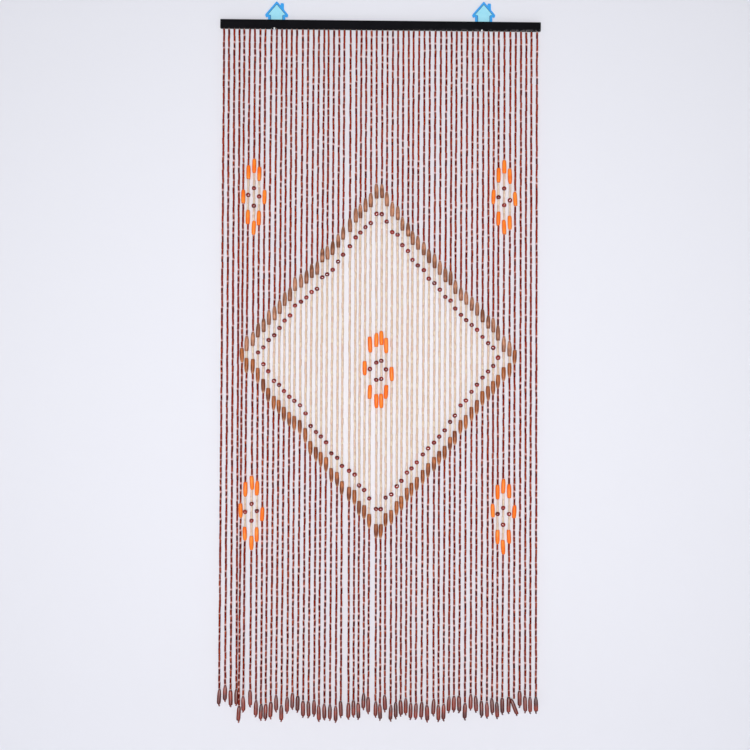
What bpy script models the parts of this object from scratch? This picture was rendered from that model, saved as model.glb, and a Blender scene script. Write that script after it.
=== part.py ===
"""Bead curtain under a painted wooden slat, which two house-shaped wall hooks carry.

Metres. +Z is up, +X is to the right as seen from the room, the wall is the plane Y = 0 and
the room lies at -Y. The origin is on the wall, level with the middle of the slat and halfway
along it.

Sixty strands hang from a strip in the slat's underside. Each strand is one four-sided column
for its tubes, with a swelling for every spindle, round bead and tip bead. The bead chart
below counts the beads of each strand from the slat down.
"""

from collections import namedtuple
from itertools import accumulate
import math
import random

import bmesh
import bpy

MM = 0.001
GAP = 0.3 * MM

# Slat and the groove under it
SLAT_LENGTH = 900 * MM
SLAT_HEIGHT = 25 * MM
SLAT_DEPTH = 12 * MM
SLAT_EDGE_RADIUS = 1.5 * MM
SLAT_EDGE_SEGMENTS = 3
GROOVE_WIDTH = 7 * MM
GROOVE_DEPTH = 4 * MM
GROOVE_END = 4 * MM
CUTTER_OVERSHOOT = 2 * MM
SHARP_TURN = 30.0

# Wall hooks: plate, inlaid panel and the prong under the slat
PLATE_THICKNESS = 4 * MM
PLATE_EDGE_RADIUS = 0.7 * MM
RECESS_DEPTH = 1.6 * MM
PANEL_THICKNESS = 1.0 * MM
PRONG_THICKNESS = 2.4 * MM
PRONG_BEND = 2.2 * MM
PRONG_ROOT_WIDTH = 10 * MM
PRONG_TIP_WIDTH = 4.2 * MM
PRONG_TOP = 7 * MM
PRONG_WAIST = -7 * MM
PRONG_EDGE_RADIUS = 0.5 * MM
PRONG_FRONT_SPACE = 0.5 * MM
PRONG_LIP = 0.6 * MM
PRONG_BEND_STEPS = 5
HOOK_EDGE_SEGMENTS = 2

# House outline, measured sideways and down from the point of its roof
EAVE_HALF = 32 * MM
EAVE_DROP = 39.5 * MM
EAVE_TIP = (28.5 * MM, 46.5 * MM)
WALL_HALF = 24 * MM
WALL_START = 43.5 * MM
HOUSE_HEIGHT = 78 * MM
CHIMNEY_INNER = 10.8 * MM
CHIMNEY_OUTER = 20 * MM
CHIMNEY_DROP = 6 * MM
ROOF_BAND_DROP = 9.5 * MM
PANEL_EAVE_HALF = 22.6 * MM
PANEL_EAVE_DROP = 40.5 * MM
PANEL_HALF = 16.2 * MM
PANEL_BOTTOM = 70 * MM

Hook = namedtuple("Hook", "side x roof_point prong_x")
HOOKS = (
    Hook(side="left", x=-293 * MM, roof_point=69.3 * MM, prong_x=-297.8 * MM),
    Hook(side="right", x=290.5 * MM, roof_point=74.3 * MM, prong_x=284.2 * MM),
)

# Depths, from the wall towards the room
SLAT_BACK = -(PLATE_THICKNESS + GAP + PRONG_THICKNESS + GAP)
SLAT_MIDDLE = SLAT_BACK - SLAT_DEPTH / 2
SLAT_UNDERSIDE = -SLAT_HEIGHT / 2

# Strands
STRANDS = 60
END_MARGIN = 10 * MM
ROW_SHIFT = -1.8 * MM
PITCH = (SLAT_LENGTH - 2 * END_MARGIN) / (STRANDS - 1)
CURTAIN_DROP = 1860 * MM
THREAD_WIDTH = 1.6 * MM
LEAD = 1.5 * MM
HEM_LEAN = 7.6 * MM
LINE_CHANCE = 0.8 * MM
SWAY_CHANCE = 0.8 * MM
LINE_SEED = 600
BEAD_SEED = 7000

# Size of each kind of bead, and how much its length varies either way
Bead = namedtuple("Bead", "length width spread")
BEADS = {
    "brown": Bead(length=18.7 * MM, width=5.8 * MM, spread=1.6 * MM),
    "pale": Bead(length=18.4 * MM, width=6.4 * MM, spread=1.6 * MM),
    "tan": Bead(length=40 * MM, width=11.4 * MM, spread=1.0 * MM),
    "orange": Bead(length=40 * MM, width=11.4 * MM, spread=1.0 * MM),
    "round": Bead(length=11.6 * MM, width=12.6 * MM, spread=0.4 * MM),
    "tip": Bead(length=41 * MM, width=11.2 * MM, spread=1.0 * MM),
    "stop": Bead(length=6.2 * MM, width=4.2 * MM, spread=0.8 * MM),
}
TUBES = ("brown", "pale")
SPINDLES = ("tan", "orange", "tip")

# Rings of a swelling between two tubes: share of the bead's length, share of its width
SWELLINGS = {
    "tan": ((0.25, 1.0), (0.75, 1.0)),
    "orange": ((0.25, 1.0), (0.75, 1.0)),
    "round": ((0.5, 1.0),),
    "tip": ((0.25, 1.0), (0.80, 1.0), (1.0, 0.5)),
    "stop": ((0.1, 1.0), (1.0, 1.0)),
}

# Bead chart. Steps count from the two middle strands, step 0, to the two outer ones, step 29
PLAIN_TUBES = 100
DIAMOND_REACH = 25
DIAMOND_TOP_TUBES = 23
DIAMOND_FOOT_TUBES = 25
BORDER_PALE_PAIR = 2
LAST_OPEN_STEP = 21

# Flowers inside the diamond's middle strands
CentreRow = namedtuple("CentreRow", "above spindles rounds below")
CENTRE_ROWS = {
    0: CentreRow(above=17, spindles=2, rounds=2, below=15),
    1: CentreRow(above=17, spindles=2, rounds=1, below=15),
    2: CentreRow(above=20, spindles=1, rounds=0, below=17),
}

# Flowers in the brown field, above and below the diamond's side points
CornerRow = namedtuple("CornerRow", "above spindles rounds to_border from_border below")
CORNER_ROWS = {
    21: CornerRow(above=24, spindles=1, rounds=0, to_border=17, from_border=17, below=28),
    22: CornerRow(above=20, spindles=2, rounds=1, to_border=15, from_border=15, below=24),
    23: CornerRow(above=19, spindles=2, rounds=2, to_border=15, from_border=15, below=21),
    24: CornerRow(above=20, spindles=2, rounds=1, to_border=17, from_border=16, below=24),
    25: CornerRow(above=24, spindles=1, rounds=0, to_border=22, from_border=21, below=29),
}

# The hand-cut tubes run long or short, so the spindles hang unevenly. One row a strand, from
# the left: how many millimetres lower than with even tubes each spindle on it hangs, top first
SPINDLE_DRIFTS = (
    (-27,), (-38,), (-24,), (-27,), (4, -3, -4, -27), (10, 11, 6, 9, 15, 14, -8),
    (11, 12, 2, 1, 6, -1, -8), (15, 13, 7, 7, 1, 4, -7), (5, 6, 2, 1, -19), (-14, -7, -13),
    (-7, -3, -18), (-5, -10, -37), (-9, -9, -9), (-4, -13, -30), (-14, -20, -41),
    (-4, -27, -32), (4, -23, -18), (5, -5, -17), (15, -7, -20), (-2, -11, -5), (10, -15, -8),
    (15, -3, -7), (14, -10, -1), (10, -3, -14), (6, -5, -9), (-3, -15, -16), (4, -3, -8),
    (5, 6, 6, -19), (10, 12, 21, 16, -4), (3, 20, 17, 14, -4), (3, 14, 16, 14, 4),
    (7, 15, 21, 13, -10), (16, 22, 19, 13), (8, -3, -11), (20, 1, -17), (18, -4, -23),
    (22, 0, -11), (17, 2, -11), (15, 0, -15), (16, -1, -7), (11, 0, -25), (12, 1, -9),
    (13, 5, -13), (2, -2, -35), (9, -1, -36), (10, -13, -36), (2, -9, -18), (0, -14, -43),
    (-5, -15, -39), (-4, -22, -26), (-6, -18, -24), (-2, -1, 2, -14, -40),
    (11, 9, 6, 20, 6, 6, -7), (7, 2, 7, 17, 8, 4, 8), (13, 20, 13, 16, 14, 16, -11),
    (3, -5, -6, -52), (-29,), (-15,), (-13,), (-13,),
)

# How the strands hang in loose groups: millimetres sideways at the slat and at the hem,
# and millimetres out into the room at the hem
Group = namedtuple("Group", "first last hole hem_first hem_last out")
HANGING_GROUPS = (
    Group(first=0, last=3, hole=1.8, hem_first=4.0, hem_last=6.5, out=-2.5),
    Group(first=4, last=5, hole=0.4, hem_first=-1.2, hem_last=-3.6, out=4.5),
    Group(first=6, last=8, hole=-0.6, hem_first=1.0, hem_last=0.0, out=0.5),
    Group(first=9, last=11, hole=1.1, hem_first=-1.0, hem_last=-3.0, out=-0.5),
    Group(first=12, last=14, hole=-1.4, hem_first=-2.0, hem_last=-2.0, out=1.0),
    Group(first=15, last=19, hole=0.5, hem_first=-1.8, hem_last=-2.2, out=0.0),
    Group(first=20, last=23, hole=-1.7, hem_first=-2.6, hem_last=-1.4, out=-1.0),
    Group(first=24, last=26, hole=0.7, hem_first=5.0, hem_last=2.4, out=1.0),
    Group(first=27, last=28, hole=-1.4, hem_first=1.0, hem_last=0.0, out=-0.5),
    Group(first=29, last=31, hole=-1.1, hem_first=5.0, hem_last=1.0, out=0.5),
    Group(first=32, last=35, hole=-0.1, hem_first=1.4, hem_last=-1.2, out=-1.0),
    Group(first=36, last=39, hole=-1.3, hem_first=-3.0, hem_last=-1.4, out=0.5),
    Group(first=40, last=43, hole=0.4, hem_first=1.4, hem_last=-0.6, out=1.0),
    Group(first=44, last=48, hole=-0.5, hem_first=-1.6, hem_last=-0.4, out=-0.5),
    Group(first=49, last=51, hole=0.6, hem_first=0.8, hem_last=0.0, out=0.5),
    Group(first=52, last=53, hole=-0.6, hem_first=-1.2, hem_last=-1.2, out=-1.0),
    Group(first=54, last=59, hole=1.4, hem_first=1.2, hem_last=1.8, out=1.0),
)

# Tip beads that hang askew: strand and degrees, foot to the right
ASKEW_TIPS = {55: 20.0}


def steps_from_middle(strand):
    """0 for the two middle strands, rising to 29 for the two outer ones."""
    return max(STRANDS // 2 - 1 - strand, strand - STRANDS // 2)


def flower(spindles, rounds):
    """One orange spindle, or two with pale pairs and round beads between them."""
    if spindles == 1:
        return [("orange", 1)]
    middle = [("round", 1), ("pale", BORDER_PALE_PAIR)] * rounds
    return [("orange", 1), ("pale", BORDER_PALE_PAIR)] + middle + [("orange", 1)]


def diamond_inside(step):
    """Runs between a strand's two border spindles."""
    if step > LAST_OPEN_STEP + 1:
        return [("pale", DIAMOND_REACH - step)]
    edge = [("pale", BORDER_PALE_PAIR), ("round", 1)]
    if step == LAST_OPEN_STEP + 1:
        return edge + [("pale", BORDER_PALE_PAIR)]
    if step in CENTRE_ROWS:
        row = CENTRE_ROWS[step]
        middle = [("pale", row.above)] + flower(row.spindles, row.rounds)
        middle += [("pale", row.below)]
    else:
        middle = [("pale", 2 * (LAST_OPEN_STEP + 1 - step))]
    return edge + middle + edge[::-1]


def diamond(step):
    """Runs from the upper border spindle to the lower one; the side point is one spindle."""
    if step == DIAMOND_REACH:
        return [("tan", 1)]
    return [("tan", 1)] + diamond_inside(step) + [("tan", 1)]


def bead_runs(strand):
    """(kind, count) of the beads on a strand, from the slat down."""
    step = steps_from_middle(strand)
    ending = [("tip", 1), ("stop", 1)]
    if step > DIAMOND_REACH:
        return [("brown", PLAIN_TUBES)] + ending
    if step in CORNER_ROWS:
        row = CORNER_ROWS[step]
        spray = flower(row.spindles, row.rounds)
        above = [("brown", row.above)] + spray + [("brown", row.to_border)]
        below = [("brown", row.from_border)] + spray + [("brown", row.below)]
    else:
        above = [("brown", DIAMOND_TOP_TUBES + step)]
        below = [("brown", DIAMOND_FOOT_TUBES + step)]
    return above + diamond(step) + below + ending


def beads_on(strand):
    """(kind, drop of its top below the slat, length) of each bead on a strand."""
    chance = random.Random(BEAD_SEED + strand)
    kinds = [kind for kind, count in bead_runs(strand) for _ in range(count)]
    even = [BEADS[kind].length for kind in kinds]
    lengths = [
        BEADS[kind].length + chance.uniform(-BEADS[kind].spread, BEADS[kind].spread)
        for kind in kinds
    ]
    spindles = [place for place, kind in enumerate(kinds) if kind in SPINDLES]
    start = 0
    reached = 0.0
    for place, drift in zip(spindles, SPINDLE_DRIFTS[strand], strict=True):
        wanted = sum(even[start:place]) + (drift - reached) * MM
        share = wanted / sum(lengths[start:place])
        lengths[start:place] = [length * share for length in lengths[start:place]]
        start = place
        reached = drift
    drops = accumulate(lengths, initial=LEAD)
    return list(zip(kinds, drops, lengths, strict=False))


def strand_line(strand):
    """A function from a drop below the slat to the strand's (x, y) there."""
    group = next(g for g in HANGING_GROUPS if g.first <= strand <= g.last)
    across = (strand - group.first) / max(group.last - group.first, 1)
    hem_shift = group.hem_first + across * (group.hem_last - group.hem_first)
    chance = random.Random(LINE_SEED + strand)
    even = -SLAT_LENGTH / 2 + END_MARGIN + ROW_SHIFT + strand * PITCH
    top_x = even + group.hole * MM + chance.uniform(-LINE_CHANCE, LINE_CHANCE)
    hem_x = even + HEM_LEAN + hem_shift * MM + chance.uniform(-LINE_CHANCE, LINE_CHANCE)
    sway = chance.uniform(-SWAY_CHANCE, SWAY_CHANCE)
    out = group.out * MM + chance.uniform(-SWAY_CHANCE, SWAY_CHANCE)

    def place(drop):
        share = drop / CURTAIN_DROP
        x = top_x + (hem_x - top_x) * share + sway * math.sin(math.pi * share)
        return x, SLAT_MIDDLE - out * share

    return place


def rings_on(strand):
    """(drop, width, sideways shift) of each ring, where tubes in a row share one stretch."""
    rings = []
    last_kind = None
    askew = math.tan(math.radians(ASKEW_TIPS.get(strand, 0.0)))
    for kind, top, length in beads_on(strand):
        width = BEADS[kind].width
        if kind in TUBES:
            if last_kind not in TUBES:
                rings.append((top, width, 0.0))
            else:
                rings.pop()
            rings.append((top + length, width, 0.0))
        elif kind == "stop":
            rings += [(top + s * length, w * width, rings[-1][2]) for s, w in SWELLINGS[kind]]
        else:
            lean = askew if kind == "tip" else 0.0
            rings += [
                (top + s * length, w * width, lean * (s - 0.5) * length)
                for s, w in SWELLINGS[kind]
            ]
        last_kind = kind
    return rings


def square_ring(bm, centre, drop, width):
    """Four corners of a level square, in order round it."""
    x, y = centre
    half = width / 2
    corners = ((-half, -half), (half, -half), (half, half), (-half, half))
    return [bm.verts.new((x + dx, y + dy, SLAT_UNDERSIDE - drop)) for dx, dy in corners]


def bridge(bm, ring, next_ring):
    """Side faces between two rings of equal count."""
    for n in range(len(ring)):
        after = (n + 1) % len(ring)
        bm.faces.new((ring[n], ring[after], next_ring[after], next_ring[n]))


def material(name, colour, roughness, metallic=0.0):
    """A plain Principled material for one sub-part."""
    made = bpy.data.materials.new(name)
    made.use_nodes = True
    shader = made.node_tree.nodes["Principled BSDF"]
    shader.inputs["Base Color"].default_value = (*colour, 1.0)
    shader.inputs["Roughness"].default_value = roughness
    shader.inputs["Metallic"].default_value = metallic
    return made


def finish_object(name, bm, made):
    """Turns a bmesh into a named object with its material."""
    bmesh.ops.recalc_face_normals(bm, faces=bm.faces)
    mesh = bpy.data.meshes.new(name)
    bm.to_mesh(mesh)
    bm.free()
    mesh.materials.append(made)
    obj = bpy.data.objects.new(name, mesh)
    bpy.context.scene.collection.objects.link(obj)
    return obj


def hide_cutter(cutter):
    """Marks an object as a helper that is never rendered."""
    cutter.hide_render = True
    cutter.display_type = "WIRE"


def cut(obj, cutter):
    """Subtracts a helper from an object."""
    hide_cutter(cutter)
    modifier = obj.modifiers.new("cut", "BOOLEAN")
    modifier.operation = "DIFFERENCE"
    modifier.object = cutter


def round_edges(obj, radius, segments):
    """Rounds every sharp edge."""
    modifier = obj.modifiers.new("edges", "BEVEL")
    modifier.width = radius
    modifier.segments = segments
    modifier.limit_method = "ANGLE"
    modifier.angle_limit = math.radians(SHARP_TURN)


def block(name, low, high, made):
    """A closed box between two corners."""
    bm = bmesh.new()
    bmesh.ops.create_cube(bm, size=1.0)
    for vert in bm.verts:
        vert.co = [
            (a + b) / 2 + (b - a) * c for a, b, c in zip(low, high, vert.co, strict=True)
        ]
    return finish_object(name, bm, made)


def build_slat():
    """The painted slat, with a closed-end groove along its underside."""
    half = SLAT_LENGTH / 2
    paint = material("slat_paint", (0.012, 0.012, 0.015), 0.42)
    slat = block(
        "slat",
        (-half, SLAT_BACK - SLAT_DEPTH, -SLAT_HEIGHT / 2),
        (half, SLAT_BACK, SLAT_HEIGHT / 2),
        paint,
    )
    round_edges(slat, SLAT_EDGE_RADIUS, SLAT_EDGE_SEGMENTS)
    groove = block(
        "groove_cutter",
        (-half + GROOVE_END, SLAT_MIDDLE - GROOVE_WIDTH / 2, SLAT_UNDERSIDE - CUTTER_OVERSHOOT),
        (half - GROOVE_END, SLAT_MIDDLE + GROOVE_WIDTH / 2, SLAT_UNDERSIDE + GROOVE_DEPTH),
        paint,
    )
    cut(slat, groove)


def build_strands():
    """The strip in the groove, with the sixty strands growing from its underside."""
    bm = bmesh.new()
    lines = [strand_line(strand) for strand in range(STRANDS)]
    tops = [line(0.0)[0] for line in lines]
    end = SLAT_LENGTH / 2 - GROOVE_END - GAP
    walls = [-end] + [(a + b) / 2 for a, b in zip(tops, tops[1:], strict=False)] + [end]
    front = SLAT_MIDDLE - GROOVE_WIDTH / 2 + GAP
    back = SLAT_MIDDLE + GROOVE_WIDTH / 2 - GAP
    low = SLAT_UNDERSIDE
    high = SLAT_UNDERSIDE + GROOVE_DEPTH - GAP
    frames = [
        [bm.verts.new((x, y, z)) for y, z in ((front, low), (back, low), (back, high), (front, high))]
        for x in walls
    ]
    bm.faces.new(frames[0])
    bm.faces.new(frames[-1])
    for strand in range(STRANDS):
        left, right = frames[strand], frames[strand + 1]
        for a, b in ((1, 2), (2, 3), (3, 0)):
            bm.faces.new((left[a], left[b], right[b], right[a]))
        ring = square_ring(bm, lines[strand](0.0), 0.0, THREAD_WIDTH)
        bridge(bm, (left[0], right[0], right[1], left[1]), ring)
        for drop, width, shift in rings_on(strand):
            x, y = lines[strand](drop)
            next_ring = square_ring(bm, (x + shift, y), drop, width)
            bridge(bm, ring, next_ring)
            ring = next_ring
        bm.faces.new(ring)
    finish_object("bead_strands", bm, material("bead_wood", (0.22, 0.045, 0.02), 0.38))


def mirrored(half_outline):
    """A closed outline from its right half, which starts on the middle line."""
    left = [(-x, z) for x, z in reversed(half_outline) if x > 0]
    return half_outline + left


def house_outline():
    """(x, z) of the plate's outline, from the roof's point."""
    slope = EAVE_DROP / EAVE_HALF
    lower = [
        (EAVE_HALF, -EAVE_DROP),
        (EAVE_TIP[0], -EAVE_TIP[1]),
        (WALL_HALF, -WALL_START),
        (WALL_HALF, -HOUSE_HEIGHT),
    ]
    outline = mirrored([(0.0, 0.0)] + lower)
    chimney = [
        (CHIMNEY_INNER, -CHIMNEY_INNER * slope),
        (CHIMNEY_INNER, -CHIMNEY_DROP),
        (CHIMNEY_OUTER, -CHIMNEY_DROP),
        (CHIMNEY_OUTER, -CHIMNEY_OUTER * slope),
    ]
    return outline[:1] + chimney + outline[1:]


def panel_outline(grow):
    """(x, z) of the inlaid panel, or of its recess where grow is the gap round it."""
    slope = EAVE_DROP / EAVE_HALF
    rise = grow * math.hypot(1.0, slope)
    eave = PANEL_EAVE_HALF + grow
    return mirrored(
        [
            (0.0, -ROOF_BAND_DROP + rise),
            (eave, -ROOF_BAND_DROP + rise - eave * slope),
            (PANEL_HALF + grow, -PANEL_EAVE_DROP - grow),
            (PANEL_HALF + grow, -PANEL_BOTTOM - grow),
        ]
    )


def extrude_outline(name, outline, hook, back, front, made):
    """A closed plate from an outline, between two depths."""
    bm = bmesh.new()
    verts = [bm.verts.new((hook.x + x, back, hook.roof_point + z)) for x, z in outline]
    face = bm.faces.new(verts)
    grown = bmesh.ops.extrude_face_region(bm, geom=[face])
    moved = [part for part in grown["geom"] if isinstance(part, bmesh.types.BMVert)]
    bmesh.ops.translate(bm, verts=moved, vec=(0.0, front - back, 0.0))
    return finish_object(name, bm, made)


def build_plate(hook):
    """The house-shaped plate with the recess for its panel."""
    made = material("hook_blue", (0.05, 0.36, 0.82), 0.3)
    name = "hook_plate_" + hook.side
    plate = extrude_outline(name, house_outline(), hook, 0.0, -PLATE_THICKNESS, made)
    round_edges(plate, PLATE_EDGE_RADIUS, HOOK_EDGE_SEGMENTS)
    recess = extrude_outline(
        "recess_cutter_" + hook.side,
        panel_outline(GAP),
        hook,
        -PLATE_THICKNESS + RECESS_DEPTH,
        -PLATE_THICKNESS - CUTTER_OVERSHOOT,
        made,
    )
    cut(plate, recess)


def build_panel(hook):
    """The pale panel laid into the plate."""
    made = material("hook_panel", (0.36, 0.78, 0.92), 0.35)
    back = -PLATE_THICKNESS + RECESS_DEPTH - GAP
    name = "hook_panel_" + hook.side
    extrude_outline(name, panel_outline(0.0), hook, back, back - PANEL_THICKNESS, made)


def prong_path():
    """(y, z, angle, width) along the prong, down behind the slat, under it and up."""
    half = PRONG_THICKNESS / 2
    behind = -PLATE_THICKNESS - GAP - half
    under = SLAT_UNDERSIDE - GAP - half
    before = SLAT_BACK - SLAT_DEPTH - PRONG_FRONT_SPACE - half
    path = [(behind, PRONG_TOP, 0.0, PRONG_ROOT_WIDTH)]
    path.append((behind, PRONG_WAIST, 0.0, PRONG_TIP_WIDTH))
    for centre_y, first in ((behind - PRONG_BEND, 0.0), (before + PRONG_BEND, 90.0)):
        for n in range(PRONG_BEND_STEPS):
            angle = math.radians(first + 90.0 * n / (PRONG_BEND_STEPS - 1))
            y = centre_y + PRONG_BEND * math.cos(angle)
            z = under + PRONG_BEND - PRONG_BEND * math.sin(angle)
            path.append((y, z, angle, PRONG_TIP_WIDTH))
    path.append((before, under + PRONG_BEND + PRONG_LIP, math.pi, PRONG_TIP_WIDTH))
    return path


def build_prong(hook):
    """The white tongue that leaves the plate behind the slat and turns up in front of it."""
    bm = bmesh.new()
    half = PRONG_THICKNESS / 2
    ring = None
    for y, z, angle, width in prong_path():
        out_y = math.cos(angle) * half
        out_z = -math.sin(angle) * half
        wide = width / 2
        sides = ((-wide, 1), (wide, 1), (wide, -1), (-wide, -1))
        corners = [(hook.prong_x + x, y + side * out_y, z + side * out_z) for x, side in sides]
        next_ring = [bm.verts.new(corner) for corner in corners]
        if ring:
            bridge(bm, ring, next_ring)
        else:
            bm.faces.new(next_ring)
        ring = next_ring
    bm.faces.new(ring)
    white = material("hook_white", (0.85, 0.86, 0.86), 0.3)
    prong = finish_object("hook_prong_" + hook.side, bm, white)
    round_edges(prong, PRONG_EDGE_RADIUS, HOOK_EDGE_SEGMENTS)


def main():
    """Clears the scene and builds the curtain."""
    for obj in list(bpy.data.objects):
        bpy.data.objects.remove(obj)
    build_slat()
    build_strands()
    for hook in HOOKS:
        build_plate(hook)
        build_panel(hook)
        build_prong(hook)


main()
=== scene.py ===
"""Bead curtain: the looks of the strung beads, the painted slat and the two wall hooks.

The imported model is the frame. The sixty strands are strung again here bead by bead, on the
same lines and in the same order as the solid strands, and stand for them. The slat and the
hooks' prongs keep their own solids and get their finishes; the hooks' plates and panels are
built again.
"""

from collections import namedtuple
from itertools import accumulate
import math
import random

import bmesh
import bpy
from mathutils import Matrix, Vector
import numpy as np


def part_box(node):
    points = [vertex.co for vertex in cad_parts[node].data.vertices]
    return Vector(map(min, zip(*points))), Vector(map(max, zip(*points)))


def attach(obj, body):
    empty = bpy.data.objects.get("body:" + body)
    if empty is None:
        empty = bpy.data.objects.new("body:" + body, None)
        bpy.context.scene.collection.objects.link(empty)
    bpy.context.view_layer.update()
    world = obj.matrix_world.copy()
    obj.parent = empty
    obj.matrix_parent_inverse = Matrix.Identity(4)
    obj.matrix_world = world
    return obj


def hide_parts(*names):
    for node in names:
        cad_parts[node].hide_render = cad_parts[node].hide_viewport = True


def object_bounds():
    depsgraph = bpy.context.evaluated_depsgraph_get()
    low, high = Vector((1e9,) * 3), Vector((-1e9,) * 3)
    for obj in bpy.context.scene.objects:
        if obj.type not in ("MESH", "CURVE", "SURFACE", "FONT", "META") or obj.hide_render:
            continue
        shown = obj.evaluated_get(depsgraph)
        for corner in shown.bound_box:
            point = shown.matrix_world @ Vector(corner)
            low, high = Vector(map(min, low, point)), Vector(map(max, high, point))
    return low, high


MM = 0.001

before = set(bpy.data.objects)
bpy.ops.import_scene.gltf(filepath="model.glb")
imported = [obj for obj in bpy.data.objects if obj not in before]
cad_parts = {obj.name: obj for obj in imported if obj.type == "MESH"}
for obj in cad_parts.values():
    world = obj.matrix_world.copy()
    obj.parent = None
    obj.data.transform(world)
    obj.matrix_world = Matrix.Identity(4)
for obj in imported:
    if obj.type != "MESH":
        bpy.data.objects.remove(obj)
CAD_LOW, CAD_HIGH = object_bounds()
SLAT_LOW, SLAT_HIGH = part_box("slat")
SLAT_LENGTH = SLAT_HIGH.x - SLAT_LOW.x
SLAT_MIDDLE = (SLAT_LOW.y + SLAT_HIGH.y) / 2
SLAT_UNDERSIDE = SLAT_LOW.z

# Strands, as in the solid ones
STRANDS = 60
END_MARGIN = 10 * MM
ROW_SHIFT = -1.8 * MM
PITCH = (SLAT_LENGTH - 2 * END_MARGIN) / (STRANDS - 1)
CURTAIN_DROP = 1860 * MM
THREAD_WIDTH = 1.2 * MM
THREAD_IN_SLAT = 1.5 * MM
THREAD_STEPS = 19
THREAD_SIDES = 6
THREAD_JOG = 2 * MM
LEAD = 1.5 * MM
HEM_LEAN = 7.6 * MM
LINE_CHANCE = 0.8 * MM
SWAY_CHANCE = 0.8 * MM
LINE_SEED = 600
BEAD_SEED = 7000

# Size of each kind of bead, and how much its length varies either way
Bead = namedtuple("Bead", "length width spread")
BEADS = {
    "brown": Bead(length=18.7 * MM, width=5.8 * MM, spread=1.6 * MM),
    "pale": Bead(length=18.4 * MM, width=6.4 * MM, spread=1.6 * MM),
    "tan": Bead(length=40 * MM, width=11.4 * MM, spread=1.0 * MM),
    "orange": Bead(length=40 * MM, width=11.4 * MM, spread=1.0 * MM),
    "round": Bead(length=11.6 * MM, width=12.6 * MM, spread=0.4 * MM),
    "tip": Bead(length=41 * MM, width=11.2 * MM, spread=1.0 * MM),
    "stop": Bead(length=6.2 * MM, width=4.2 * MM, spread=0.8 * MM),
}
SPINDLES = ("tan", "orange", "tip")

# Bead chart. Steps count from the two middle strands, step 0, to the two outer ones, step 29
PLAIN_TUBES = 100
DIAMOND_REACH = 25
DIAMOND_TOP_TUBES = 23
DIAMOND_FOOT_TUBES = 25
BORDER_PALE_PAIR = 2
LAST_OPEN_STEP = 21
DIAMOND_MIDDLE_DROP = 915 * MM

# Flowers inside the diamond's middle strands
CentreRow = namedtuple("CentreRow", "above spindles rounds below")
CENTRE_ROWS = {
    0: CentreRow(above=17, spindles=2, rounds=2, below=15),
    1: CentreRow(above=17, spindles=2, rounds=1, below=15),
    2: CentreRow(above=20, spindles=1, rounds=0, below=17),
}

# Flowers in the brown field, above and below the diamond's side points
CornerRow = namedtuple("CornerRow", "above spindles rounds to_border from_border below")
CORNER_ROWS = {
    21: CornerRow(above=24, spindles=1, rounds=0, to_border=17, from_border=17, below=28),
    22: CornerRow(above=20, spindles=2, rounds=1, to_border=15, from_border=15, below=24),
    23: CornerRow(above=19, spindles=2, rounds=2, to_border=15, from_border=15, below=21),
    24: CornerRow(above=20, spindles=2, rounds=1, to_border=17, from_border=16, below=24),
    25: CornerRow(above=24, spindles=1, rounds=0, to_border=22, from_border=21, below=29),
}

# The hand-cut tubes run long or short, so the spindles hang unevenly. One row a strand, from
# the left: how many millimetres lower than with even tubes each spindle on it hangs, top first
SPINDLE_DRIFTS = (
    (-27,), (-38,), (-24,), (-27,), (4, -3, -4, -27), (10, 11, 6, 9, 15, 14, -8),
    (11, 12, 2, 1, 6, -1, -8), (15, 13, 7, 7, 1, 4, -7), (5, 6, 2, 1, -19), (-14, -7, -13),
    (-7, -3, -18), (-5, -10, -37), (-9, -9, -9), (-4, -13, -30), (-14, -20, -41),
    (-4, -27, -32), (4, -23, -18), (5, -5, -17), (15, -7, -20), (-2, -11, -5), (10, -15, -8),
    (15, -3, -7), (14, -10, -1), (10, -3, -14), (6, -5, -9), (-3, -15, -16), (4, -3, -8),
    (5, 6, 6, -19), (10, 12, 21, 16, -4), (3, 20, 17, 14, -4), (3, 14, 16, 14, 4),
    (7, 15, 21, 13, -10), (16, 22, 19, 13), (8, -3, -11), (20, 1, -17), (18, -4, -23),
    (22, 0, -11), (17, 2, -11), (15, 0, -15), (16, -1, -7), (11, 0, -25), (12, 1, -9),
    (13, 5, -13), (2, -2, -35), (9, -1, -36), (10, -13, -36), (2, -9, -18), (0, -14, -43),
    (-5, -15, -39), (-4, -22, -26), (-6, -18, -24), (-2, -1, 2, -14, -40),
    (11, 9, 6, 20, 6, 6, -7), (7, 2, 7, 17, 8, 4, 8), (13, 20, 13, 16, 14, 16, -11),
    (3, -5, -6, -52), (-29,), (-15,), (-13,), (-13,),
)

# How the strands hang in loose groups: first and last strand, millimetres sideways at the
# slat, millimetres sideways at the hem for the first and the last strand, and millimetres
# out into the room at the hem
Group = namedtuple("Group", "first last hole hem_first hem_last out")
HANGING_GROUPS = (
    Group(0, 3, 1.8, 4.0, 6.5, -2.5),
    Group(4, 5, 0.4, -1.2, -3.6, 4.5),
    Group(6, 8, -0.6, 1.0, 0.0, 0.5),
    Group(9, 11, 1.1, -1.0, -3.0, -0.5),
    Group(12, 14, -1.4, -2.0, -2.0, 1.0),
    Group(15, 19, 0.5, -1.8, -2.2, 0.0),
    Group(20, 23, -1.7, -2.6, -1.4, -1.0),
    Group(24, 26, 0.7, 5.0, 2.4, 1.0),
    Group(27, 28, -1.4, 1.0, 0.0, -0.5),
    Group(29, 31, -1.1, 5.0, 1.0, 0.5),
    Group(32, 35, -0.1, 1.4, -1.2, -1.0),
    Group(36, 39, -1.3, -3.0, -1.4, 0.5),
    Group(40, 43, 0.4, 1.4, -0.6, 1.0),
    Group(44, 48, -0.5, -1.6, -0.4, -0.5),
    Group(49, 51, 0.6, 0.8, 0.0, 0.5),
    Group(52, 53, -0.6, -1.2, -1.2, -1.0),
    Group(54, 59, 1.4, 1.2, 1.8, 1.0),
)

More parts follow.
